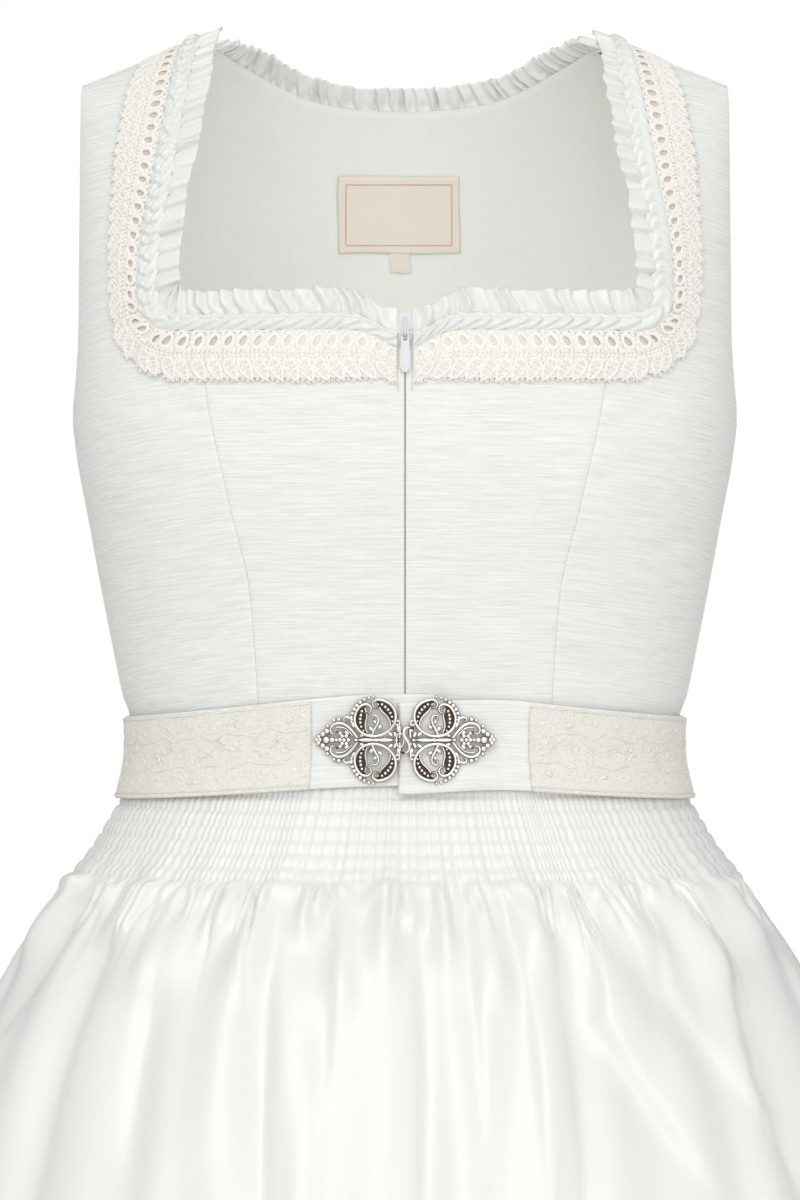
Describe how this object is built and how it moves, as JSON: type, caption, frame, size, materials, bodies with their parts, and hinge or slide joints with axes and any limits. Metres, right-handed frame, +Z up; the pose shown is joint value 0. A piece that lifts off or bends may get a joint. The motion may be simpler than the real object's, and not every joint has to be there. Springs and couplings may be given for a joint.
{
  "type": "bridal dirndl with apron and clasp belt",
  "caption": "White sleeveless dirndl held out as worn: square lace-trimmed neck, front zip, lace belt with scroll clasp, gathered skirt and shirred satin apron.",
  "frame": {"origin": "where the wearer's shoulders carry the dress: under the middle of the shoulder seams, between the two straps", "axes": "+Z up, -Y towards the front of the dress, +X towards the wearer's left"},
  "size_m": [0.7086, 0.5861, 1.0506],
  "materials": {
    "slub_fabric": "white slub weave, matt with fine uneven streaks",
    "lining_fabric": "plain cotton lining, matt",
    "label_fabric": "woven beige satin ribbon",
    "satin": "white satin, soft sheen",
    "lace": "ivory crochet and net lace",
    "antique_silver": "cast antique silver, dark in its recesses",
    "zip_enamel": "white enamelled zip parts"
  },
  "bodies": {
    "dress": {"back_centre": "slub_fabric", "back_lining": "lining_fabric", "label": "label_fabric", "size_tab": "label_fabric", "front_centre_left": "slub_fabric", "front_side_left": "slub_fabric", "back_side_left": "slub_fabric", "front_centre_right": "slub_fabric", "front_side_right": "slub_fabric", "back_side_right": "slub_fabric", "zip_chain": "zip_enamel", "neck_lace_left": "lace", "neck_braid_left": "satin", "neck_frill_left": "satin", "neck_lace_right": "lace", "neck_braid_right": "satin", "neck_frill_right": "satin", "neck_frill_back": "satin", "belt_band": "slub_fabric", "belt_lace": "lace", "clasp_left": "antique_silver", "clasp_right": "antique_silver", "skirt_front": "slub_fabric", "skirt_back": "slub_fabric", "apron": "satin", "zip_slider": "zip_enamel"},
    "zip_pull": {"zip_pull": "zip_enamel"}
  },
  "joints": [
    {"name": "pull_hinge", "type": "hinge", "parent": "dress", "child": "zip_pull", "pos_m": [0, -0.10824, -0.13691], "axis": [-1, 0, 0], "range_deg": [0, 135]}
  ]
}
